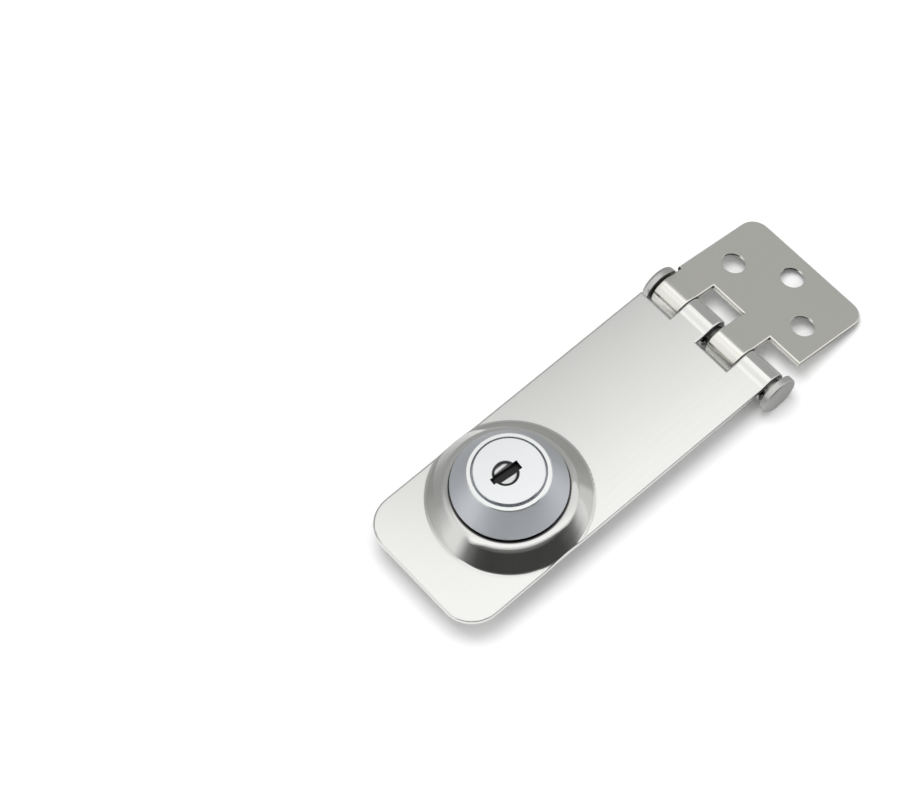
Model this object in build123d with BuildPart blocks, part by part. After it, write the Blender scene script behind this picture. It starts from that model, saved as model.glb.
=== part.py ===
from build123d import *
import os
from math import asin, atan, cos, degrees, hypot, radians, sin

# A sheet-steel hasp with a keyed lock in its flap. The origin is the lock's axis in the plane
# that the hasp lies on, +X runs towards the hinged leaf, +Y along the hinge pin, +Z up.
# All sizes are in millimetres.

# Flap: one pressed sheet with two rolled eyes and a drawn boss for the lock
hasp_width = 35.0
flap_sheet = 1.5
sheet_edge = 0.4
flap_free_end = 27.0
hinge_reach = 60.0
flap_corner = 7.5
flap_slot_depth = 5.4
boss_height = 5.6
boss_foot_radius = 17.35
boss_crown_radius = 13.4
boss_foot_bend = 1.65
boss_crown_bend = 2.25

# Leaf: the screwed half of the hinge, which hangs down until its far edge touches
leaf_sheet = 1.5
leaf_length = 29.5
leaf_corner = 4.0
leaf_notch_depth = 7.5
leaf_side_shift = -0.55
screw_hole_radius = 2.8
screw_sink_radius = 3.7
screw_sink_angle = 90.0
screw_near_reach = 15.6
screw_far_reach = 23.5
screw_half_spread = 10.75

# Hinge: a headed pin in four rolled eyes
pin_radius = 2.14
pin_clearance = 0.06
head_radius = 4.6
head_thickness = 1.6
head_chamfer = 0.25
head_gap = 1.2
rivet_thickness = 1.9
rivet_round = 0.9
rivet_gap = 0.25
eye_side_gap = 0.3
eye_joggle = 0.4
eye_ramp = 3.0
eye_wrap = 285.0
eye_trim = 0.65
trim_clearance = 0.3

# Lock housing: a tapered head over a flatted barrel
cone_base_radius = 12.55
cone_face_radius = 9.1
cone_height = 6.0
cone_rim = 0.4
seat_radius = 11.4
seat_height = 0.9
barrel_radius = 8.8
barrel_flat = 8.35
barrel_clearance = 0.1
barrel_chamfer = 0.5
plug_radius = 6.32
flange_radius = 7.6
flange_gap = 0.45
flange_thickness = 1.5
plug_clearance = 0.08
plug_rise = 0.4
face_edge = 0.3
plug_edge = 0.15
groove_width = 6.0
groove_depth = 0.8

# Fixing of the housing: a thin hexagon nut over a toothed washer
nut_wall = 1.6
nut_thickness = 1.0
nut_chamfer = 0.25
washer_margin = 1.3
washer_thickness = 0.5
washer_teeth = 16
tooth_gap = 1.3
tooth_depth = 1.2

# Plug and what it holds
key_angle = -6.0
key_offset = -0.85
keyway_length = 7.0
keyway_width = 2.1
keyway_nib_length = 1.0
keyway_nib_width = 1.5
key_recess_radius = 2.95
key_recess_floor = 2.1
key_recess_depth = 0.6
key_wall = 0.8
wafer_count = 5
wafer_pitch = 2.0
wafer_thickness = 0.9
wafer_width = 5.6
wafer_window = 6.3
wafer_step = 0.35
wafer_code = (0, 2, 1, 0, 2)
wafer_travel = 0.7
wafer_clearance = 0.05
lug_length = 1.0
lug_width = 1.5
spring_length = 2.6
spring_radius = 0.45
spring_wire = 0.09
spring_turns = 5
chamber_depth = 4.5
chamber_web = 0.7
shutter_sheet = 0.4
shutter_eye = 0.7
shutter_pin_radius = 0.3
shutter_pin_half = 5.2
shutter_lap = 0.2
shutter_side = 2.05
shutter_play = 0.08
turn_angle = 90.0
stop_angle = 24.0
stop_place = 45.0
stop_play = 1.0
stop_radius = 7.3
stop_height = 0.8

# Bayonet cup round the barrel's end, held to the plug's tail by a countersunk screw
cup_floor = 2.3
cup_gap = 0.3
cup_clearance = 0.1
cup_wall = 1.0
cup_edge = 0.4
neck_relief = 0.3
neck_height = 0.8
wing_level = 6.6
wing_thickness = 2.3
wing_reach = 2.5
wing_width = 11.8
wing_edge = 0.3
tail_radius = 3.4
tail_flat = 2.5
tail_length = 1.0
tail_clearance = 0.05
screw_radius = 1.5
screw_head_radius = 2.75
screw_depth = 1.9
screw_slot = 0.7
screw_slot_depth = 0.6

# Levels and angles that follow from the sizes above
eye_bore = pin_radius + pin_clearance
flap_eye = eye_bore + flap_sheet
leaf_eye = eye_bore + leaf_sheet
pin_level = head_radius
flap_top = pin_level + flap_eye - eye_joggle
flap_under = flap_top - flap_sheet
boss_top = flap_top + boss_height
boss_under = boss_top - flap_sheet
cone_level = boss_top + seat_height
face_level = cone_level + cone_rim + cone_height
flange_level = face_level - flange_thickness
eye_pitch = hasp_width / 4
slot_edge = hinge_reach - flap_slot_depth
leaf_rise = leaf_eye - eye_joggle
leaf_inner = leaf_rise - leaf_sheet
leaf_droop = degrees(atan(leaf_inner / leaf_length) + asin(pin_level / hypot(leaf_length, leaf_inner)))
housing_end = cup_floor + cup_gap
cup_radius = barrel_radius + cup_clearance + cup_wall
wing_top = wing_level + wing_thickness
neck_level = wing_level - neck_height
neck_radius = cup_radius - neck_relief
bore_radius = plug_radius + plug_clearance
barrel_hole = barrel_radius + barrel_clearance
nut_flats = 2 * (barrel_hole + nut_wall)
washer_radius = nut_flats / 2 + washer_margin
plug_face = face_level + plug_rise
shutter_level = plug_face - key_recess_depth - key_wall
chamber_floor = shutter_level - chamber_depth
first_wafer = chamber_floor - chamber_web - wafer_thickness
last_wafer = first_wafer - (wafer_count - 1) * wafer_pitch
keyway_end = last_wafer - wafer_thickness
wafer_slot = wafer_thickness + 2 * wafer_clearance
shutter_pivot = shutter_level - shutter_play - shutter_eye

# The leaf's own plane lies on the pin's axis and leans down by the droop
droop = radians(leaf_droop)
along_leaf = (cos(droop), 0, -sin(droop))
leaf_normal = (sin(droop), 0, cos(droop))
leaf_plane = Plane(origin=(hinge_reach, 0, pin_level), x_dir=along_leaf, z_dir=leaf_normal)
leaf_back = Plane(origin=leaf_plane.offset(leaf_inner).origin, x_dir=along_leaf, z_dir=-leaf_plane.z_dir)
across_pin = Plane(origin=(hinge_reach, 0, pin_level), x_dir=(1, 0, 0), z_dir=(0, -1, 0))
across_leaf = Plane(origin=(hinge_reach, 0, pin_level), x_dir=along_leaf, z_dir=(0, -1, 0))

# The plug's own directions: first along the keyway, then across it
key_turn = radians(key_angle)
along_key = (cos(key_turn), sin(key_turn), 0)
across_key = (-sin(key_turn), cos(key_turn), 0)


def key_plane(level):
    """A level plane with its first direction along the keyway."""
    return Plane(origin=(0, 0, level), x_dir=along_key, z_dir=(0, 0, 1))


def upright_plane(angle):
    """A plane through the lock's axis, turned from +X, with its second direction up."""
    turn = radians(angle)
    return Plane(origin=(0, 0, 0), x_dir=(cos(turn), sin(turn), 0), z_dir=(sin(turn), -cos(turn), 0))


def rolled_eye(plane, sheet, reach, side):
    """Section of a sheet that rises over the pin and curls round it, seen along the pin."""
    radius = eye_bore + sheet / 2
    level = radius - eye_joggle
    halfway = (side * eye_ramp / 2, radius - eye_joggle / 2)
    with BuildSketch(plane) as section:
        with BuildLine():
            Line((side * reach, level), (side * eye_ramp, level))
            TangentArc((side * eye_ramp, level), halfway, tangent=(-side, 0))
            TangentArc((0, radius), halfway, tangent=(side, 0))
            CenterArc((0, 0), radius, 90, side * eye_wrap)
        trace(line_width=sheet)
    return section.sketch


def lies_along_sheet(edge):
    """Whether an edge runs in a plane across the hinge, and not straight through the sheet."""
    span = edge.bounding_box().size
    through = edge.geom_type == GeomType.LINE and edge.length < 1.01 * flap_sheet
    return span.Y < sheet_edge / 10 and not through


os.makedirs("parts", exist_ok=True)

# Flap. The boss follows the sheet's middle line from the lock's hole to its foot.
flap_length = flap_free_end + slot_edge
flap_middle = (slot_edge - flap_free_end) / 2
sheet_middle = flap_top - flap_sheet / 2
crown_middle = boss_top - flap_sheet / 2
with BuildPart() as flap:
    with BuildSketch(Plane.XY.offset(flap_under)) as flap_outline:
        with Locations((flap_middle, 0)):
            Rectangle(flap_length, hasp_width)
        fillet(flap_outline.vertices().group_by(Axis.X)[0], radius=flap_corner)
    extrude(amount=flap_sheet)
    with BuildSketch(Plane.XY.offset(flap_under)):
        Circle(boss_foot_radius + boss_foot_bend)
    extrude(amount=flap_sheet, mode=Mode.SUBTRACT)
    with BuildSketch(Plane.XZ):
        with BuildLine():
            FilletPolyline(
                (barrel_flat / 2, crown_middle),
                (boss_crown_radius, crown_middle),
                (boss_foot_radius, sheet_middle),
                (boss_foot_radius + 2 * boss_foot_bend, sheet_middle),
                radius=[boss_crown_bend, boss_foot_bend],
            )
        trace(line_width=flap_sheet)
    revolve(axis=Axis.Z)
    extrude(flap_outline.sketch, amount=boss_height + flap_sheet, mode=Mode.INTERSECT)
    with BuildSketch(Plane.XY.offset(flap_under)):
        Circle(barrel_hole)
        Rectangle(2 * (barrel_flat + barrel_clearance), 4 * barrel_radius, mode=Mode.INTERSECT)
    extrude(amount=boss_height + flap_sheet, mode=Mode.SUBTRACT)
    # The eyes take the second and the fourth quarter of the pin
    inner_eye = rolled_eye(across_pin.offset(eye_side_gap - eye_pitch), flap_sheet, flap_slot_depth, -1)
    outer_eye = rolled_eye(across_pin.offset(eye_pitch + eye_side_gap), flap_sheet, flap_slot_depth, -1)
    extrude(inner_eye, amount=eye_pitch - 2 * eye_side_gap)
    extrude(outer_eye, amount=eye_pitch - eye_side_gap)
    # Every cut edge is tumbled smooth, apart from the short ones through the sheet
    sides = flap.edges().filter_by(lies_along_sheet)
    level_edges = flap.edges().filter_by(Plane.XY)
    free_end = level_edges.filter_by_position(Axis.X, -flap_free_end, flap_corner - flap_free_end)
    slots = level_edges.filter_by(Axis.Y).filter_by_position(Axis.X, slot_edge - sheet_edge, slot_edge + sheet_edge)
    fillet(sides + free_end + slots, radius=sheet_edge)
flap.part.label = "flap"
export_step(flap.part, "parts/flap.step")

# Leaf, with its screw heads sunk on the side away from the panel
with BuildPart() as leaf:
    with BuildSketch(leaf_plane.offset(leaf_inner)) as leaf_outline:
        with Locations(((leaf_length + leaf_notch_depth) / 2, leaf_side_shift)):
            Rectangle(leaf_length - leaf_notch_depth, hasp_width)
        fillet(leaf_outline.vertices().group_by(Axis.X)[-1], radius=leaf_corner)
    extrude(amount=leaf_sheet)
    with Locations(leaf_back):
        with Locations(
            (screw_near_reach, -leaf_side_shift - screw_half_spread),
            (screw_near_reach, -leaf_side_shift + screw_half_spread),
            (screw_far_reach, -leaf_side_shift),
        ):
            CounterSinkHole(screw_hole_radius, screw_sink_radius, leaf_sheet, screw_sink_angle)
    # The eyes take the first and the third quarter of the pin
    leaf_start = across_leaf.offset(-leaf_side_shift)
    outer_eye = rolled_eye(leaf_start.offset(-2 * eye_pitch), leaf_sheet, leaf_notch_depth, 1)
    inner_eye = rolled_eye(leaf_start.offset(eye_side_gap), leaf_sheet, leaf_notch_depth, 1)
    extrude(outer_eye, amount=eye_pitch - eye_side_gap)
    extrude(inner_eye, amount=eye_pitch - 2 * eye_side_gap)
    # The outer eye is trimmed back so that the riveted head has room
    with BuildSketch(leaf_plane.offset(-leaf_eye)):
        with Locations((head_radius + trim_clearance, hasp_width / 2 + leaf_side_shift)):
            Rectangle(2 * leaf_eye + head_radius, 2 * eye_trim, align=(Align.MAX, Align.CENTER))
    extrude(amount=2 * leaf_eye, mode=Mode.SUBTRACT)
    sides = leaf.edges().filter_by(lies_along_sheet)
    level_edges = leaf.edges().filter_by(leaf_plane)
    reach = Axis(leaf_plane.origin, along_leaf)
    far_end = level_edges.filter_by_position(reach, leaf_length - leaf_corner, leaf_length)
    notches = level_edges.filter_by(Axis.Y).filter_by_position(
        reach, leaf_notch_depth - sheet_edge, leaf_notch_depth + sheet_edge)
    fillet(sides + far_end + notches, radius=sheet_edge)
leaf.part.label = "leaf"
export_step(leaf.part, "parts/leaf.step")

# Hinge pin, turned with one head and riveted over at the other
head_inner = -hasp_width / 2 - head_gap
head_outer = head_inner - head_thickness
rivet_inner = hasp_width / 2 + leaf_side_shift - eye_trim + rivet_gap
rivet_outer = rivet_inner + rivet_thickness
with BuildPart() as hinge_pin:
    with BuildSketch(Plane(origin=(hinge_reach, 0, pin_level), x_dir=(0, 1, 0), z_dir=(1, 0, 0))):
        with BuildLine():
            Polyline(
                (head_outer, 0), (head_outer, head_radius), (head_inner, head_radius), (head_inner, pin_radius),
                (rivet_inner, pin_radius), (rivet_inner, head_radius), (rivet_outer, head_radius),
                (rivet_outer, 0), (head_outer, 0),
            )
        make_face()
    revolve(axis=Axis((hinge_reach, 0, pin_level), (0, 1, 0)))
    chamfer(hinge_pin.edges().filter_by(GeomType.CIRCLE).sort_by(Axis.Y)[0], head_chamfer)
    fillet(hinge_pin.edges().filter_by(GeomType.CIRCLE).sort_by(Axis.Y)[-1], rivet_round)
hinge_pin.part.label = "hinge_pin"
export_step(hinge_pin.part, "parts/hinge_pin.step")

# Lock housing: a tapered head that sits on the boss, over a flatted barrel
with BuildPart() as housing:
    with BuildSketch(Plane.XZ):
        with BuildLine():
            Polyline(
                (0, housing_end), (barrel_radius - barrel_chamfer, housing_end),
                (barrel_radius, housing_end + barrel_chamfer), (barrel_radius, boss_top),
                (seat_radius, boss_top), (seat_radius, cone_level), (cone_base_radius, cone_level),
                (cone_base_radius, cone_level + cone_rim),
                (cone_face_radius, face_level - face_edge), (cone_face_radius - face_edge, face_level),
                (0, face_level), (0, housing_end),
            )
        make_face()
    revolve(axis=Axis.Z)
    with BuildSketch(Plane.XY.offset(housing_end)):
        Circle(2 * barrel_radius)
        Rectangle(2 * barrel_flat, 4 * barrel_radius, mode=Mode.SUBTRACT)
    extrude(amount=boss_top - housing_end, mode=Mode.SUBTRACT)
    with BuildSketch(Plane.XY.offset(housing_end)):
        Circle(bore_radius)
    extrude(amount=face_level - housing_end, mode=Mode.SUBTRACT)
    with BuildSketch(Plane.XY.offset(flange_level)):
        Circle(flange_radius + flange_gap)
    extrude(amount=flange_thickness, mode=Mode.SUBTRACT)
    # Grooves that catch the wafers where the key goes in and a quarter turn on
    with BuildSketch(key_plane(housing_end)):
        with PolarLocations((bore_radius + groove_depth) / 2, 4):
            Rectangle(bore_radius + groove_depth, groove_width)
    extrude(amount=first_wafer + 2 * wafer_thickness - housing_end, mode=Mode.SUBTRACT)
    # Track in which the plug's stop runs
    with BuildSketch(upright_plane(key_angle + stop_place - stop_angle / 2 - stop_play - turn_angle)):
        with Locations((bore_radius, flange_level)):
            Rectangle(stop_radius - bore_radius, stop_height, align=(Align.MIN, Align.MAX))
    revolve(axis=Axis.Z, revolution_arc=turn_angle + stop_angle + 2 * stop_play, mode=Mode.SUBTRACT)
housing.part.label = "lock_housing"
export_step(housing.part, "parts/lock_housing.step")

# Toothed washer and nut that hold the housing in the boss
with BuildPart() as toothed_washer:
    with BuildSketch(Plane.XY.offset(boss_under - washer_thickness)):
        Circle(washer_radius)
        Circle(barrel_hole, mode=Mode.SUBTRACT)
        with PolarLocations(washer_radius, washer_teeth):
            Rectangle(2 * tooth_depth, tooth_gap, mode=Mode.SUBTRACT)
    extrude(amount=washer_thickness)
toothed_washer.part.label = "toothed_washer"
export_step(toothed_washer.part, "parts/toothed_washer.step")

with BuildPart() as housing_nut:
    with BuildSketch(Plane.XY.offset(boss_under - washer_thickness - nut_thickness)):
        RegularPolygon(nut_flats / 2, 6, major_radius=False)
    extrude(amount=nut_thickness)
    chamfer(housing_nut.edges().filter_by(GeomType.LINE).filter_by(Plane.XY), nut_chamfer)
    with BuildSketch(Plane.XY.offset(boss_under - washer_thickness)):
        Circle(barrel_hole)
    extrude(amount=-nut_thickness, mode=Mode.SUBTRACT)
housing_nut.part.label = "housing_nut"
export_step(housing_nut.part, "parts/housing_nut.step")

# Plug
wafer_levels = [first_wafer - i * wafer_pitch for i in range(wafer_count)]
wafer_sides = [(-1) ** i for i in range(wafer_count)]
lug_middle = (wafer_width + lug_width) / 2
pocket_start = -lug_length / 2 - spring_length
pocket_end = lug_length / 2 + wafer_travel + wafer_clearance
tail_end = cup_floor - tail_length
with BuildPart() as plug:
    with BuildSketch(Plane.XY.offset(cup_floor)):
        Circle(plug_radius)
    extrude(amount=plug_face - cup_floor)
    with BuildSketch(Plane.XY.offset(flange_level + wafer_clearance)):
        Circle(flange_radius)
    extrude(amount=plug_face - flange_level - wafer_clearance)
    chamfer(plug.edges().sort_by(Axis.Z)[-1], plug_edge)
    with BuildSketch(Plane.XY.offset(tail_end)):
        Circle(tail_radius)
        Rectangle(4 * tail_radius, 2 * tail_flat, mode=Mode.INTERSECT)
    extrude(amount=tail_length)
    with BuildSketch(upright_plane(key_angle + stop_place - stop_angle / 2)):
        with Locations((plug_radius / 2, flange_level + plug_clearance)):
            Rectangle(stop_radius - plug_clearance - plug_radius / 2, stop_height, align=(Align.MIN, Align.MAX))
    revolve(axis=Axis.Z, revolution_arc=stop_angle)
    with BuildSketch(key_plane(plug_face)) as recess_mouth:
        with Locations((key_offset, 0)):
            Circle(key_recess_radius)
    with BuildSketch(key_plane(plug_face - key_recess_depth)) as recess_floor:
        with Locations((key_offset, 0)):
            Circle(key_recess_floor)
    loft(mode=Mode.SUBTRACT)
    with BuildSketch(key_plane(keyway_end)):
        with Locations((key_offset, 0)):
            Rectangle(keyway_length, keyway_nib_width)
        with Locations((key_offset + keyway_nib_length / 2, 0)):
            Rectangle(keyway_length - keyway_nib_length, keyway_width)
    extrude(amount=plug_face - keyway_end, mode=Mode.SUBTRACT)
    # Chamber in which the dust shutter swings clear of the key
    with BuildSketch(key_plane(chamber_floor)):
        with Locations((key_offset, -shutter_side - shutter_eye - shutter_play)):
            Rectangle(keyway_length + 6 * shutter_play,
                      shutter_side + shutter_eye + keyway_width / 2 + shutter_lap + 4 * shutter_play,
                      align=(Align.CENTER, Align.MIN))
    extrude(amount=chamber_depth, mode=Mode.SUBTRACT)
    with BuildSketch(Plane(origin=(0, 0, shutter_pivot), x_dir=across_key, z_dir=along_key)
                     .offset(-shutter_pin_half)):
        with Locations((-shutter_side, 0)):
            Circle(shutter_pin_radius + shutter_play / 2)
    extrude(amount=shutter_pin_half + 2 * plug_radius, mode=Mode.SUBTRACT)
    # Slots for the wafers, each with a pocket for its lug and spring
    for level, side in zip(wafer_levels, wafer_sides):
        with BuildSketch(key_plane(level - wafer_clearance)):
            Rectangle(4 * plug_radius, wafer_width + 2 * wafer_clearance)
            with Locations((pocket_start, side * (lug_middle + wafer_clearance))):
                Rectangle(pocket_end - pocket_start, lug_width + 4 * wafer_clearance,
                          align=(Align.MIN, Align.CENTER))
        extrude(amount=wafer_slot, mode=Mode.SUBTRACT)
    with BuildSketch(Plane.XY.offset(tail_end)):
        Circle(screw_radius + tail_clearance)
    extrude(amount=screw_depth + tail_clearance, mode=Mode.SUBTRACT)
plug.part.label = "lock_plug"
export_step(plug.part, "parts/lock_plug.step")

# Wafers, each with its window cut for its own place in the code, and their springs
for i, (level, side) in enumerate(zip(wafer_levels, wafer_sides)):
    window_shift = key_offset + wafer_step * (wafer_code[i] - 1)
    with BuildPart() as wafer:
        with BuildSketch(key_plane(level)):
            Circle(plug_radius - 2 * wafer_clearance)
            Rectangle(4 * plug_radius, wafer_width, mode=Mode.INTERSECT)
            with Locations((0, side * lug_middle)):
                Rectangle(lug_length, lug_width)
            with Locations((window_shift, 0)):
                Rectangle(wafer_window, keyway_width, mode=Mode.SUBTRACT)
        extrude(amount=wafer_thickness)
    wafer.part.label = f"wafer_{i + 1}"
    export_step(wafer.part, f"parts/wafer_{i + 1}.step")

    coil = spring_radius - spring_wire
    coil_base = key_plane(level + wafer_thickness / 2).from_local_coords(
        Vector(pocket_start + spring_wire, side * lug_middle, 0))
    with BuildPart() as wafer_spring:
        with BuildLine():
            coils = Helix((spring_length - 2 * spring_wire) / spring_turns,
                          spring_length - 2 * spring_wire, coil, center=coil_base, direction=along_key)
        with BuildSketch(Plane(origin=coils @ 0, z_dir=coils % 0)):
            Circle(spring_wire)
        sweep(is_frenet=True)
    wafer_spring.part.label = f"wafer_spring_{i + 1}"
    export_step(wafer_spring.part, f"parts/wafer_spring_{i + 1}.step")

# Dust shutter: a small sheet with a rolled eye, behind the keyway's mouth
across_shutter = Plane(origin=(0, 0, shutter_pivot), x_dir=across_key, z_dir=along_key)
with BuildPart() as dust_shutter:
    with BuildSketch(across_shutter.offset(key_offset - keyway_length / 2)):
        with Locations((-shutter_side, 0)):
            Circle(shutter_eye)
        with Locations((-shutter_side, shutter_eye)):
            Rectangle(shutter_side + keyway_width / 2 + shutter_lap, shutter_sheet,
                      align=(Align.MIN, Align.MAX))
        with Locations((-shutter_side, 0)):
            Circle(shutter_pin_radius + shutter_play, mode=Mode.SUBTRACT)
    extrude(amount=keyway_length)
dust_shutter.part.label = "dust_shutter"
export_step(dust_shutter.part, "parts/dust_shutter.step")

with BuildPart() as shutter_pin:
    with BuildSketch(across_shutter.offset(-shutter_pin_half)):
        with Locations((-shutter_side, 0)):
            Circle(shutter_pin_radius)
    extrude(amount=2 * shutter_pin_half)
shutter_pin.part.label = "shutter_pin"
export_step(shutter_pin.part, "parts/shutter_pin.step")

# Bayonet cup: its two wings stand out of a relieved neck under the boss and turn with the key
with BuildPart() as bayonet_cam:
    with BuildSketch(Plane.XZ):
        with BuildLine():
            Polyline(
                (0, 0), (cup_radius - cup_edge, 0), (cup_radius, cup_edge), (cup_radius, neck_level),
                (neck_radius, neck_level), (neck_radius, wing_top), (cup_radius - cup_wall, wing_top),
                (cup_radius - cup_wall, cup_floor), (0, cup_floor), (0, 0),
            )
        make_face()
    revolve(axis=Axis.Z)
    with BuildSketch(Plane.XY.offset(wing_level)) as wings:
        Rectangle(2 * (cup_radius + wing_reach), wing_width)
        Circle(cup_radius + wing_reach, mode=Mode.INTERSECT)
        fillet(wings.vertices(), radius=wing_edge)
        Circle(cup_radius - cup_wall / 2, mode=Mode.SUBTRACT)
    extrude(amount=wing_thickness)
    with BuildSketch(Plane.XY.offset(tail_end)):
        Circle(tail_radius + tail_clearance)
        Rectangle(4 * tail_radius, 2 * (tail_flat + tail_clearance), mode=Mode.INTERSECT)
    extrude(amount=tail_length, mode=Mode.SUBTRACT)
    with BuildSketch(Plane.XZ):
        with BuildLine():
            Polyline(
                (0, 0), (screw_head_radius + tail_clearance, 0),
                (screw_radius + tail_clearance, tail_end), (0, tail_end), (0, 0),
            )
        make_face()
    revolve(axis=Axis.Z, mode=Mode.SUBTRACT)
bayonet_cam.part.label = "bayonet_cam"
export_step(bayonet_cam.part, "parts/bayonet_cam.step")

with BuildPart() as cam_screw:
    with BuildSketch(Plane.XZ):
        with BuildLine():
            Polyline(
                (0, tail_clearance), (screw_head_radius, tail_clearance), (screw_radius, tail_end),
                (screw_radius, tail_end + screw_depth), (0, tail_end + screw_depth), (0, tail_clearance),
            )
        make_face()
    revolve(axis=Axis.Z)
    with BuildSketch(Plane.XY):
        Rectangle(4 * screw_head_radius, screw_slot)
    extrude(amount=screw_slot_depth, mode=Mode.SUBTRACT)
cam_screw.part.label = "cam_screw"
export_step(cam_screw.part, "parts/cam_screw.step")
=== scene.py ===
import math

import bmesh
import bpy
from mathutils import Matrix, Vector


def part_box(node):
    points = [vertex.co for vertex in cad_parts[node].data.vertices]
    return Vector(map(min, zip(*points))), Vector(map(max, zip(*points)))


bl_info = {
    "name": "Locking Hasp",
    "version": (1, 0, 0),
    "blender": (4, 5, 0),
    "location": "3D View > Sidebar > Hasp",
    "description": "Finishes and studio for a sheet-steel hasp with a keyed lock",
    "category": "Object",
}

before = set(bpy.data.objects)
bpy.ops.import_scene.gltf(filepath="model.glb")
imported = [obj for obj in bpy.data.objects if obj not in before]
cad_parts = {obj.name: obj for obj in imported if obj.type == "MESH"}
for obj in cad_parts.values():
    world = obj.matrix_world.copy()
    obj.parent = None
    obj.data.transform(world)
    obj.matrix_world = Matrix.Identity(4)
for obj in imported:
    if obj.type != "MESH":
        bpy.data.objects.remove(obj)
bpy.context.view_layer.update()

MM = 0.001

# Places on the pieces in millimetres: the lowest level of the lock's polished face, the plug's top, half the
# length of the pin's shank, and the lowest level of the boss's crown
FACE_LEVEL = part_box("lock_housing")[1].z / MM - 0.2
PLUG_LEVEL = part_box("lock_plug")[1].z / MM
PIN_SHANK = 16.4
CROWN_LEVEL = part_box("flap")[1].z / MM - 0.6

# Radii in millimetres between which the painted shadow in the seam round the foot of the lock's head fades
# into the crown
SEAM_SHADOW_FADE = (12.8, 13.05)

# Depths in millimetres below the plug's top at which its look changes to the painted shade on the recess's
# rim, to the painted shade and highlight streaks on the recess's floor and to the painted shade in the slot
KEY_RIM_DEPTH = 0.08
KEY_FLOOR_DEPTH = 0.45
KEY_SLOT_DEPTH = 0.75

# Radius in millimetres inside which the plug is darkened with the recess's painted shade, the width across
# which the recess's floor is drawn, and how bright its painted shade and highlight streaks are at each share
# of that width, from the hasp's near side
KEY_REACH = 6.0
KEY_WIDTH = 6.0
KEY_FLOOR = ((0.50, 0.75), (0.54, 0.10), (0.74, 0.10), (0.79, 0.80), (0.84, 0.80), (0.89, 0.10))
# Colours of the painted shade on the recess's rim and in the slot
KEY_RIM_SHADE_COLOUR = (0.05, 0.05, 0.05, 1.0)
KEY_SLOT_SHADE_COLOUR = (0.03, 0.03, 0.03, 1.0)

# How far the sheets look for a neighbour, in millimetres, the share of open sky at which the painted shade
# in a gap is at its darkest, the shares at which the flap and the leaf are bright, and how bright the painted
# shade in a gap is beside its metal
GAP_REACH = 2.5
GAP_SHARE = 0.45
FLAP_OPEN = 0.8
LEAF_OPEN = 0.92
GAP_SHADE = 0.06

# Patterns on the metals, in waves a metre
BRUSH_LINES = (4.0, 1500.0, 1500.0)
SHEET_CLOUDS = 55.0
PLATE_CLOUDS = 90.0
PLATE_SPECKS = 1800.0
PIN_CLOUDS = 700.0

# How bright the clouds, the clouds on the pin and the pin's shank are beside their metal, and the share by
# which a roughness varies; the shank's darkness is painted shade in the hinge's gaps
CLOUD_SHADE = 0.97
PIN_CLOUD_SHADE = 0.93
SHANK_SHADE = 0.25
ROUGH_SPREAD = 0.1

# Depth of the brushed lines in millimetres, and radii in millimetres of the highlights along the edges
BRUSH_DEPTH = 0.002
SHEET_ROUND = 0.15
PIN_ROUND = 0.2

# Roughness of each finish, with the depth of its ripple in millimetres where it has one
PIN_ROUGH = 0.4
HOUSING_ROUGH = 0.5
FACE_ROUGH = 0.2
PLUG_ROUGH = 0.2
ZINC_SURFACE = (0.28, 0.001)
BRASS_SURFACE = (0.3, 0.002)
WIRE_SURFACE = (0.3, 0.003)
SHUTTER_SURFACE = (0.3, 0.004)


# Node helpers

def new_material(name):
    """An empty node material with its output and a Principled shader."""
    material = bpy.data.materials.new(name)
    material.use_nodes = True
    tree = material.node_tree
    tree.nodes.clear()
    output = tree.nodes.new("ShaderNodeOutputMaterial")
    shader = tree.nodes.new("ShaderNodeBsdfPrincipled")
    tree.links.new(shader.outputs["BSDF"], output.inputs["Surface"])
    return material, tree, shader


def own_place(tree):
    """The place of a point on its piece, in metres."""
    return tree.nodes.new("ShaderNodeTexCoord").outputs["Object"]


def parts_of(tree, place):
    """The X, Y and Z of a place."""
    parts = tree.nodes.new("ShaderNodeSeparateXYZ")
    tree.links.new(place, parts.inputs["Vector"])
    return parts.outputs


def math_node(tree, operation, first, second=None):
    """The result of a Math node on values or numbers."""
    node = tree.nodes.new("ShaderNodeMath")
    node.operation = operation
    for value, socket in zip((first, second), node.inputs):
        if isinstance(value, float):
            socket.default_value = value
        elif value is not None:
            tree.links.new(value, socket)
    return node.outputs[0]


def slope(tree, value, start, end, low=0.0, high=1.0):
    """One level up to a start and another from an end on, with an even slope between."""
    node = tree.nodes.new("ShaderNodeMapRange")
    node.inputs["From Min"].default_value = start
    node.inputs["From Max"].default_value = end
    node.inputs["To Min"].default_value = low
    node.inputs["To Max"].default_value = high
    tree.links.new(value, node.inputs["Value"])
    return node.outputs["Result"]


def stepped(tree, value, stops):
    """A grey level for each value from 0 to 1, with straight steps between the stops."""
    ramp = tree.nodes.new("ShaderNodeValToRGB")
    ramp.color_ramp.interpolation = "LINEAR"
    points = ramp.color_ramp.elements
    for i, (place, _) in enumerate(stops):
        if i < len(points):
            points[i].position = place
        else:
            points.new(place)
    for point, (_, level) in zip(points, stops):
        point.color = (level, level, level, 1.0)
    tree.links.new(value, ramp.inputs["Fac"])
    return ramp.outputs["Color"]


def mixed(tree, share, first, second):
    """One colour blended into another."""
    mix = tree.nodes.new("ShaderNodeMix")
    mix.data_type = "RGBA"
    tree.links.new(share, mix.inputs["Factor"])
    for value, socket in ((first, mix.inputs["A"]), (second, mix.inputs["B"])):
        if isinstance(value, tuple):
            socket.default_value = value
        else:
            tree.links.new(value, socket)
    return mix.outputs["Result"]


def shade(colour, share=1.0):
    """A colour at a share of its brightness, with its alpha."""
    return (*(part * share for part in colour), 1.0)


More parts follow.
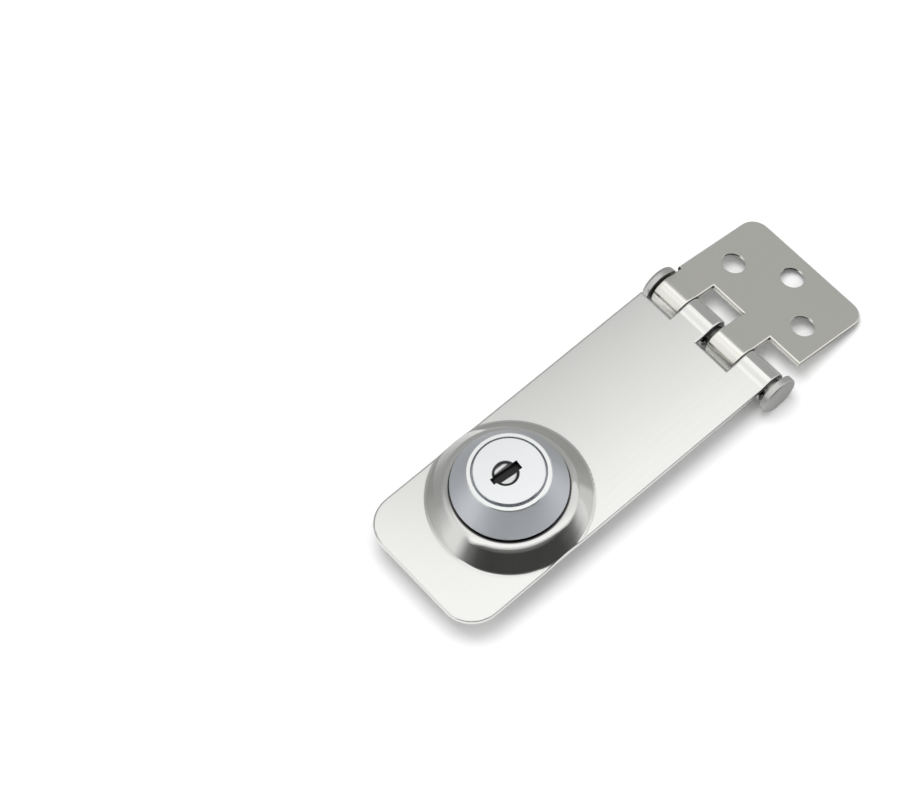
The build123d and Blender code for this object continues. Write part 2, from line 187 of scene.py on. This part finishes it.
def noise(tree, scale, stretch=(1.0, 1.0, 1.0), turn=0.0, detail=2.0, roughness=0.5):
    """The value of a noise that stays on its piece, stretched and turned about Z."""
    mapping = tree.nodes.new("ShaderNodeMapping")
    mapping.inputs["Scale"].default_value = stretch
    mapping.inputs["Rotation"].default_value = (0.0, 0.0, turn)
    tree.links.new(own_place(tree), mapping.inputs["Vector"])
    node = tree.nodes.new("ShaderNodeTexNoise")
    node.inputs["Scale"].default_value = scale
    node.inputs["Detail"].default_value = detail
    node.inputs["Roughness"].default_value = roughness
    tree.links.new(mapping.outputs["Vector"], node.inputs["Vector"])
    return node.outputs["Fac"]


def clouded(tree, colour, scale, share=CLOUD_SHADE):
    """A colour with clouds that darken it to a share of its brightness."""
    return mixed(tree, noise(tree, scale), shade(colour, share), shade(colour))


def uneven(tree, pattern, rough):
    """A roughness that varies with a noise, whose values mostly lie from 0.3 to 0.7."""
    return slope(tree, pattern, 0.3, 0.7, rough * (1.0 - ROUGH_SPREAD), rough * (1.0 + ROUGH_SPREAD))


def bump(tree, height, depth, strength, under=None):
    """A bump of that depth in millimetres, over other normals if they are given."""
    node = tree.nodes.new("ShaderNodeBump")
    node.inputs["Strength"].default_value = strength
    node.inputs["Distance"].default_value = depth * MM
    tree.links.new(height, node.inputs["Height"])
    if under is not None:
        tree.links.new(under, node.inputs["Normal"])
    return node.outputs["Normal"]


def rounded(tree, radius):
    """Normals that run smoothly over each edge, for a thin highlight along it."""
    node = tree.nodes.new("ShaderNodeBevel")
    node.samples = 6
    node.inputs["Radius"].default_value = radius * MM
    return node.outputs["Normal"]


def above(tree, level):
    """0 below a level in millimetres and 1 above it, on the piece's own height."""
    half_step = 0.05
    height = parts_of(tree, own_place(tree))["Z"]
    return slope(tree, height, (level - half_step) * MM, (level + half_step) * MM)


def off_axis(tree):
    """How far a point of a piece is from the lock's axis, in metres."""
    flat = tree.nodes.new("ShaderNodeVectorMath")
    flat.operation = "MULTIPLY"
    flat.inputs[1].default_value = (1.0, 1.0, 0.0)
    tree.links.new(own_place(tree), flat.inputs[0])
    reach = tree.nodes.new("ShaderNodeVectorMath")
    reach.operation = "LENGTH"
    tree.links.new(flat.outputs["Vector"], reach.inputs[0])
    return reach.outputs["Value"]


def in_the_open(tree, open_share):
    """0 in gaps and corners, where shade is painted into the colour, and 1 where that share of the sky is
    seen.
    """
    node = tree.nodes.new("ShaderNodeAmbientOcclusion")
    node.samples = 8
    node.inputs["Distance"].default_value = GAP_REACH * MM
    return slope(tree, node.outputs["AO"], GAP_SHARE, open_share)


def past_seam_shadow(tree):
    """0 on the boss's crown along the foot of the lock's head, where a shadow is painted, and 1 elsewhere."""
    beyond = slope(tree, off_axis(tree), SEAM_SHADOW_FADE[0] * MM, SEAM_SHADOW_FADE[1] * MM)
    below = math_node(tree, "SUBTRACT", 1.0, above(tree, CROWN_LEVEL))
    return math_node(tree, "MAXIMUM", beyond, below)


# Materials

def brushed_metal(name, colour, rough, open_share, turn=0.0):
    """Metal with fine straight lines along one direction, faint clouds, a soft shine and painted shade in
    gaps.
    """
    material, tree, shader = new_material(name)
    lines = noise(tree, 1.0, BRUSH_LINES, turn, detail=3.0, roughness=0.6)
    # Painted shade: gaps, corners and the seam round the lock's head get a darkened copy of the colour
    clear = math_node(tree, "MULTIPLY", in_the_open(tree, open_share), past_seam_shadow(tree))
    steel = mixed(tree, clear, shade(colour, GAP_SHADE), clouded(tree, colour, SHEET_CLOUDS))
    tree.links.new(steel, shader.inputs["Base Color"])
    shader.inputs["Metallic"].default_value = 1.0
    tree.links.new(uneven(tree, lines, rough), shader.inputs["Roughness"])
    edges = rounded(tree, SHEET_ROUND)
    tree.links.new(bump(tree, lines, BRUSH_DEPTH, strength=0.3, under=edges), shader.inputs["Normal"])
    return material


def plated_metal(name, colour, rough, ripple):
    """Plated or turned metal with a soft shine and a slight ripple."""
    material, tree, shader = new_material(name)
    specks = noise(tree, PLATE_SPECKS)
    tree.links.new(clouded(tree, colour, PLATE_CLOUDS), shader.inputs["Base Color"])
    shader.inputs["Metallic"].default_value = 1.0
    tree.links.new(uneven(tree, specks, rough), shader.inputs["Roughness"])
    tree.links.new(bump(tree, specks, ripple, strength=0.1), shader.inputs["Normal"])
    return material


def two_tone_chrome(name, side_colour, face_colour):
    """Satin chrome with its top face polished brighter."""
    material, tree, shader = new_material(name)
    on_face = above(tree, FACE_LEVEL)
    chrome = mixed(tree, on_face, clouded(tree, side_colour, PLATE_CLOUDS), shade(face_colour))
    rough = slope(tree, on_face, 0.0, 1.0, HOUSING_ROUGH, FACE_ROUGH)
    tree.links.new(chrome, shader.inputs["Base Color"])
    shader.inputs["Metallic"].default_value = 1.0
    tree.links.new(rough, shader.inputs["Roughness"])
    return material


def headed_steel(name, colour):
    """Turned steel with bright heads at both ends, and a shank darkened by painted shade between them."""
    material, tree, shader = new_material(name)
    from_middle = math_node(tree, "ABSOLUTE", parts_of(tree, own_place(tree))["Y"])
    on_head = math_node(tree, "GREATER_THAN", from_middle, PIN_SHANK * MM)
    head = clouded(tree, colour, PIN_CLOUDS, PIN_CLOUD_SHADE)
    # Painted shade: the shank's darkened copy of the pin's colour stands in for the shade in the hinge's gaps
    steel = mixed(tree, on_head, shade(colour, SHANK_SHADE), head)
    tree.links.new(steel, shader.inputs["Base Color"])
    shader.inputs["Metallic"].default_value = 1.0
    shader.inputs["Roughness"].default_value = PIN_ROUGH
    tree.links.new(rounded(tree, PIN_ROUND), shader.inputs["Normal"])
    return material


def keyed_chrome(name, colour):
    """Chrome whose recess, in the middle, has painted shade on its rim, painted shade and highlight streaks
    on its floor, and painted shade in its slot.
    """
    material, tree, shader = new_material(name)
    past_slot = above(tree, PLUG_LEVEL - KEY_SLOT_DEPTH)
    past_floor = above(tree, PLUG_LEVEL - KEY_FLOOR_DEPTH)
    past_rim = above(tree, PLUG_LEVEL - KEY_RIM_DEPTH)
    width = math_node(tree, "DIVIDE", parts_of(tree, own_place(tree))["Y"], KEY_WIDTH * MM)
    # Painted shadow and painted highlight streaks across the recess's floor
    floor = stepped(tree, math_node(tree, "ADD", width, 0.5), KEY_FLOOR)
    recess = mixed(tree, past_slot, KEY_SLOT_SHADE_COLOUR, floor)
    recess = mixed(tree, past_floor, recess, KEY_RIM_SHADE_COLOUR)
    outside = math_node(tree, "GREATER_THAN", off_axis(tree), KEY_REACH * MM)
    plain = math_node(tree, "MAXIMUM", past_rim, outside)
    chrome = mixed(tree, plain, recess, clouded(tree, colour, PLATE_CLOUDS))
    tree.links.new(chrome, shader.inputs["Base Color"])
    shader.inputs["Metallic"].default_value = 1.0
    shader.inputs["Roughness"].default_value = PLUG_ROUGH
    return material


def give(node, material):
    """A CAD node gets that finish and no other."""
    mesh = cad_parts[node].data
    mesh.materials.clear()
    mesh.materials.append(material)


# Sizes and colours that a user would change

class HaspFinish(bpy.types.PropertyGroup):
    """Colours and roughness of the metals"""

    flap_colour: bpy.props.FloatVectorProperty(
        name="Flap", description="Polished steel of the flap", subtype="COLOR", default=(0.77, 0.77, 0.75))
    flap_rough: bpy.props.FloatProperty(
        name="Flap roughness", description="How soft the flap's shine is", subtype="FACTOR", default=0.12)
    leaf_colour: bpy.props.FloatVectorProperty(
        name="Leaf", description="Brushed steel of the leaf", subtype="COLOR", default=(0.86, 0.855, 0.80))
    leaf_rough: bpy.props.FloatProperty(
        name="Leaf roughness", description="How soft the leaf's shine is", subtype="FACTOR", default=0.17)
    pin_colour: bpy.props.FloatVectorProperty(
        name="Pin", description="Turned steel of the hinge pin", subtype="COLOR", default=(0.66, 0.66, 0.64))
    housing_colour: bpy.props.FloatVectorProperty(
        name="Housing", description="Satin chrome of the lock's head", subtype="COLOR",
        default=(0.70, 0.725, 0.765))
    face_colour: bpy.props.FloatVectorProperty(
        name="Face", description="Polished ring round the plug", subtype="COLOR", default=(0.90, 0.915, 0.91))
    plug_colour: bpy.props.FloatVectorProperty(
        name="Plug", description="Chrome of the plug's face", subtype="COLOR", default=(0.885, 0.90, 0.91))
    zinc_colour: bpy.props.FloatVectorProperty(
        name="Zinc", description="Bright zinc plate", subtype="COLOR", default=(0.68, 0.69, 0.71))
    brass_colour: bpy.props.FloatVectorProperty(
        name="Brass", description="Stamped brass of the wafers", subtype="COLOR", default=(0.80, 0.62, 0.30))
    # The shutter's near-black is painted shade in the keyway's slot
    shutter_shade_colour: bpy.props.FloatVectorProperty(
        name="Shutter", description="Dark worn steel of the dust shutter", subtype="COLOR",
        default=(0.04, 0.04, 0.04))
    spring_colour: bpy.props.FloatVectorProperty(
        name="Spring", description="Drawn spring wire", subtype="COLOR", default=(0.55, 0.55, 0.56))


class HaspStage(bpy.types.PropertyGroup):
    """Camera, floor and light"""

    lens: bpy.props.FloatProperty(
        name="Lens", description="Focal length on a 36 mm sensor, in millimetres", default=96.18)
    floor_colour: bpy.props.FloatVectorProperty(
        name="Floor", description="Pale floor", subtype="COLOR", default=(0.86, 0.86, 0.86))
    key_power: bpy.props.FloatProperty(
        name="Key light", description="Power of the large softbox", subtype="POWER", default=4.4)


# Operators

class HASP_OT_finish_sheets(bpy.types.Operator):
    """Give the flap, the leaf and the hinge pin their steel"""
    bl_idname = "hasp.finish_sheets"
    bl_label = "Finish the Sheets"

    def execute(self, context):
        look = context.scene.hasp_finish
        flap_steel = brushed_metal("flap_steel", look.flap_colour, look.flap_rough, FLAP_OPEN)
        leaf_steel = brushed_metal("leaf_steel", look.leaf_colour, look.leaf_rough, LEAF_OPEN, math.pi / 2)
        give("flap", flap_steel)
        give("leaf", leaf_steel)
        give("hinge_pin", headed_steel("pin_steel", look.pin_colour))
        return {"FINISHED"}


class HASP_OT_finish_lock(bpy.types.Operator):
    """Give the lock's housing, plug and inner pieces their finishes"""
    bl_idname = "hasp.finish_lock"
    bl_label = "Finish the Lock"

    def execute(self, context):
        look = context.scene.hasp_finish
        give("lock_housing", two_tone_chrome("housing_chrome", look.housing_colour, look.face_colour))
        give("lock_plug", keyed_chrome("plug_chrome", look.plug_colour))
        zinc = plated_metal("zinc_plate", look.zinc_colour, *ZINC_SURFACE)
        for node in ("housing_nut", "toothed_washer", "bayonet_cam", "cam_screw"):
            give(node, zinc)
        brass = plated_metal("wafer_brass", look.brass_colour, *BRASS_SURFACE)
        wire = plated_metal("spring_wire", look.spring_colour, *WIRE_SURFACE)
        give("shutter_pin", wire)
        # The shutter's near-black colour is painted shade standing in for the shade in the keyway's slot
        give("dust_shutter", plated_metal("shutter_steel", look.shutter_shade_colour, *SHUTTER_SURFACE))
        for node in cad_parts:
            if node.startswith("wafer_spring"):
                give(node, wire)
            elif node.startswith("wafer_"):
                give(node, brass)
        return {"FINISHED"}


class HASP_OT_set_stage(bpy.types.Operator):
    """Add the floor, the light and the camera"""
    bl_idname = "hasp.set_stage"
    bl_label = "Set the Stage"

    def execute(self, context):
        look = context.scene.hasp_stage
        add_floor(look)
        add_world()
        add_lamps(look)
        add_camera(look)
        context.scene.view_settings.view_transform = "Standard"
        return {"FINISHED"}


# Floor

FLOOR_HALF = 2.0
FLOOR_ROUGH = 0.9

# How much white the floor adds near the hasp and far from it, and the distances in millimetres between
FLOOR_LIFT = (0.05, 0.45)
LIFT_SPAN = (180.0, 900.0)

# Middle of the floor that the metal mirrors, the radii between which it gives way to the studio, and the
# distances along the hinge between which it does so beyond the hasp's far edge, in millimetres
MIRROR_MIDDLE = (-25.0, -20.0, 0.0)
MIRROR_FADE = (55.0, 105.0)
MIRROR_SIDE = (19.0, 34.0)


def add_floor(look):
    """A wide pale floor that keeps the object's shadow, and that can't be seen from below."""
    mesh = bpy.data.meshes.new("floor")
    bm = bmesh.new()
    bmesh.ops.create_grid(bm, x_segments=1, y_segments=1, size=FLOOR_HALF)
    bm.to_mesh(mesh)
    bm.free()
    floor = bpy.data.objects.new("floor", mesh)
    bpy.context.scene.collection.objects.link(floor)
    material, tree, shader = new_material("floor_pale")
    shader.inputs["Base Color"].default_value = shade(look.floor_colour)
    shader.inputs["Roughness"].default_value = FLOOR_ROUGH
    shader.inputs["Specular IOR Level"].default_value = 0.0
    shader.inputs["Emission Color"].default_value = (1.0, 1.0, 1.0, 1.0)
    lift = by_distance(tree, LIFT_SPAN, *FLOOR_LIFT)
    seen_lift = math_node(tree, "MULTIPLY", camera_or_mirror_ray(tree), lift)
    tree.links.new(seen_lift, shader.inputs["Emission Strength"])
    unseen = math_node(tree, "MAXIMUM", far_in_mirror(tree), from_below(tree))
    clear = tree.nodes.new("ShaderNodeBsdfTransparent")
    mix = tree.nodes.new("ShaderNodeMixShader")
    tree.links.new(unseen, mix.inputs["Fac"])
    tree.links.new(shader.outputs["BSDF"], mix.inputs[1])
    tree.links.new(clear.outputs["BSDF"], mix.inputs[2])
    tree.links.new(mix.outputs["Shader"], tree.nodes["Material Output"].inputs["Surface"])
    mesh.materials.append(material)


def by_distance(tree, span, near=0.0, far=1.0):
    """One value near the middle of the mirrored floor and another past the span, in millimetres."""
    reach = tree.nodes.new("ShaderNodeVectorMath")
    reach.operation = "DISTANCE"
    reach.inputs[1].default_value = Vector(MIRROR_MIDDLE) * MM
    tree.links.new(own_place(tree), reach.inputs[0])
    return slope(tree, reach.outputs["Value"], span[0] * MM, span[1] * MM, near, far)


def far_in_mirror(tree):
    """1 where a reflection meets the floor far from the hasp or beyond its far edge, and 0 elsewhere."""
    along_hinge = parts_of(tree, own_place(tree))["Y"]
    beside = slope(tree, along_hinge, MIRROR_SIDE[0] * MM, MIRROR_SIDE[1] * MM)
    beyond = math_node(tree, "MAXIMUM", by_distance(tree, MIRROR_FADE), beside)
    return math_node(tree, "MULTIPLY", ray_kind(tree, "Is Glossy Ray"), beyond)


def from_below(tree):
    """1 where the floor is seen from below, and 0 from above."""
    return tree.nodes.new("ShaderNodeNewGeometry").outputs["Backfacing"]


def ray_kind(tree, kind):
    """1 for rays of that kind, and 0 for the rest."""
    return tree.nodes.new("ShaderNodeLightPath").outputs[kind]


def camera_or_mirror_ray(tree):
    """1 for rays from the camera or from a reflection, and 0 for the rest."""
    return math_node(tree, "MAXIMUM", ray_kind(tree, "Is Camera Ray"), ray_kind(tree, "Is Glossy Ray"))


# Studio

# Brightness of the studio round the hasp by compass angle in degrees: the horizon, the walls, which take
# over between two elevations, the bright ceiling, and the roof. The camera's own side is dark low down.
HORIZON = ((-180, 0.20), (-168, 0.07), (-158, 0.05), (-74, 0.05), (-60, 0.10), (-52, 0.14), (-36, 0.42),
           (-20, 0.50), (-5, 0.55), (8, 0.45), (20, 0.44), (45, 0.42), (110, 0.38), (125, 0.42), (140, 0.65),
           (155, 0.90), (168, 0.90), (180, 0.20))
HORIZON_SPAN = (4.0, 26.0)
WALLS = ((-180, 0.35), (-168, 0.22), (-158, 0.20), (-74, 0.20), (-60, 0.25), (-52, 0.30), (-36, 0.50),
         (-20, 0.50), (-5, 0.55), (8, 0.45), (20, 0.44), (45, 0.45), (110, 0.44), (125, 0.66), (140, 0.85),
         (155, 0.92), (168, 0.90), (180, 0.35))
CEILING = ((-180, 1.20), (-90, 1.20), (-50, 1.12), (-36, 0.95), (-20, 0.88), (0, 0.95), (20, 1.27),
           (60, 1.24), (100, 0.98), (125, 1.02), (150, 1.05), (180, 1.20))
ROOF = 1.08
ROOF_EDGE = (74.0, 82.0)

# Elevation in degrees at which the ceiling starts to brighten and how far up it goes on, both by compass
# angle, and how bright it is at each share of that rise
CEILING_FOOT = ((-180, -5), (-165, 26), (-137, 32), (-115, 32), (-90, 30), (-72, 22), (-55, -5), (-36, -14),
                (-20, -14), (0, 52), (20, 52.5), (38, 56.9), (50, 61.1), (55, 60.7), (60, 59.9), (90, 57.5),
                (130, 50.5), (165, 50.5), (180, -5))
CEILING_RISE = ((-180, 40), (-165, 36), (-115, 38), (-90, 34), (-72, 30), (-36, 20), (-20, 20), (0, 8),
                (165, 8), (180, 40))
CEILING_STEPS = ((0.13, 0.0), (0.24, 0.46), (0.33, 0.55), (0.51, 0.57), (0.61, 0.75), (0.75, 1.0))


def compass_ramp(tree, angle, stops):
    """A grey level for each compass angle in degrees."""
    return stepped(tree, angle, [(degrees / 360.0 + 0.5, level) for degrees, level in stops])


def compass_elevation(tree, angle, stops):
    """An elevation in degrees, from -90 to 90, for each compass angle in degrees."""
    shares = compass_ramp(tree, angle, [(degrees, height / 180.0 + 0.5) for degrees, height in stops])
    return math_node(tree, "MULTIPLY", math_node(tree, "SUBTRACT", shares, 0.5), 180.0)


def share_of_rise(tree, height, foot, rise):
    """0 below an elevation and 1 a rise above it, in degrees, where both vary."""
    share = math_node(tree, "DIVIDE", math_node(tree, "SUBTRACT", height, foot), rise)
    share.node.use_clamp = True
    return share


def studio_light(tree):
    """The brightness of the studio in every direction."""
    place = tree.nodes.new("ShaderNodeTexCoord")
    parts = parts_of(tree, place.outputs["Generated"])
    turn = math_node(tree, "ARCTAN2", parts["Y"], parts["X"])
    angle = math_node(tree, "ADD", math_node(tree, "MULTIPLY", turn, 0.5 / math.pi), 0.5)
    height = math_node(tree, "MULTIPLY", math_node(tree, "ARCSINE", parts["Z"]), math.degrees(1.0))
    horizon = compass_ramp(tree, angle, HORIZON)
    sides = mixed(tree, slope(tree, height, *HORIZON_SPAN), horizon, compass_ramp(tree, angle, WALLS))
    foot = compass_elevation(tree, angle, CEILING_FOOT)
    rise = compass_elevation(tree, angle, CEILING_RISE)
    climb = stepped(tree, share_of_rise(tree, height, foot, rise), CEILING_STEPS)
    lower = mixed(tree, climb, sides, compass_ramp(tree, angle, CEILING))
    return mixed(tree, slope(tree, height, *ROOF_EDGE), lower, (ROOF, ROOF, ROOF, 1.0))


def add_world():
    """White surroundings for the camera, and the studio's walls and ceiling for the light."""
    world = bpy.data.worlds.new("studio")
    world.use_nodes = True
    bpy.context.scene.world = world
    tree = world.node_tree
    tree.nodes.clear()
    output = tree.nodes.new("ShaderNodeOutputWorld")
    studio = tree.nodes.new("ShaderNodeBackground")
    tree.links.new(studio_light(tree), studio.inputs["Color"])
    white = tree.nodes.new("ShaderNodeBackground")
    white.inputs["Color"].default_value = (1.0, 1.0, 1.0, 1.0)
    mix = tree.nodes.new("ShaderNodeMixShader")
    tree.links.new(ray_kind(tree, "Is Camera Ray"), mix.inputs["Fac"])
    tree.links.new(studio.outputs[0], mix.inputs[1])
    tree.links.new(white.outputs[0], mix.inputs[2])
    tree.links.new(mix.outputs[0], output.inputs["Surface"])


# Lamp and camera

# Side and place of the softbox, in metres
SOFTBOX_SIDE = 0.5
SOFTBOX_PLACE = Vector((0.02, 0.18, 0.90))


def add_lamps(look):
    """One large softbox overhead, on the hasp's far side, that the metal doesn't mirror."""
    lamp = bpy.data.lights.new("softbox", "AREA")
    lamp.shape = "RECTANGLE"
    lamp.size = SOFTBOX_SIDE
    lamp.size_y = SOFTBOX_SIDE
    lamp.energy = look.key_power
    holder = bpy.data.objects.new("softbox", lamp)
    bpy.context.scene.collection.objects.link(holder)
    holder.visible_glossy = False
    holder.location = SOFTBOX_PLACE
    holder.rotation_euler = (-SOFTBOX_PLACE).to_track_quat("-Z", "Y").to_euler()


CAMERA_PLACE = Vector((-139.32, -163.67, 477.87)) * MM
CAMERA_AIM = Vector((9.93, 27.56, 0.0)) * MM
CAMERA_ROLL = math.radians(-3.99)


def add_camera(look):
    """The camera that took the reference view, solved from the hasp's straight edges and circles."""
    lens = bpy.data.cameras.new("camera")
    lens.sensor_width = 36.0
    lens.sensor_fit = "HORIZONTAL"
    lens.lens = look.lens
    lens.clip_start = 0.01
    lens.clip_end = 10.0
    camera = bpy.data.objects.new("camera", lens)
    bpy.context.scene.collection.objects.link(camera)
    turn = (CAMERA_AIM - CAMERA_PLACE).to_track_quat("-Z", "Y").to_matrix().to_4x4()
    camera.matrix_world = Matrix.Translation(CAMERA_PLACE) @ turn @ Matrix.Rotation(CAMERA_ROLL, 4, "Z")
    bpy.context.scene.camera = camera


class HASP_PT_panel(bpy.types.Panel):
    """Buttons for each step"""
    bl_idname = "HASP_PT_panel"
    bl_label = "Locking Hasp"
    bl_space_type = "VIEW_3D"
    bl_region_type = "UI"
    bl_category = "Hasp"

    def draw(self, context):
        for operator in OPERATORS:
            self.layout.operator(operator.bl_idname)


OPERATORS = (HASP_OT_finish_sheets, HASP_OT_finish_lock, HASP_OT_set_stage)
CLASSES = (HaspFinish, HaspStage, *OPERATORS, HASP_PT_panel)


def register():
    """Add the classes and their settings to the scene."""
    for cls in CLASSES:
        bpy.utils.register_class(cls)
    bpy.types.Scene.hasp_finish = bpy.props.PointerProperty(type=HaspFinish)
    bpy.types.Scene.hasp_stage = bpy.props.PointerProperty(type=HaspStage)


def unregister():
    """Take the classes and their settings away."""
    del bpy.types.Scene.hasp_finish
    del bpy.types.Scene.hasp_stage
    for cls in reversed(CLASSES):
        bpy.utils.unregister_class(cls)


def main():
    """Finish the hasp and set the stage."""
    register()
    bpy.ops.hasp.finish_sheets()
    bpy.ops.hasp.finish_lock()
    bpy.ops.hasp.set_stage()


if __name__ == "__main__":
    main()
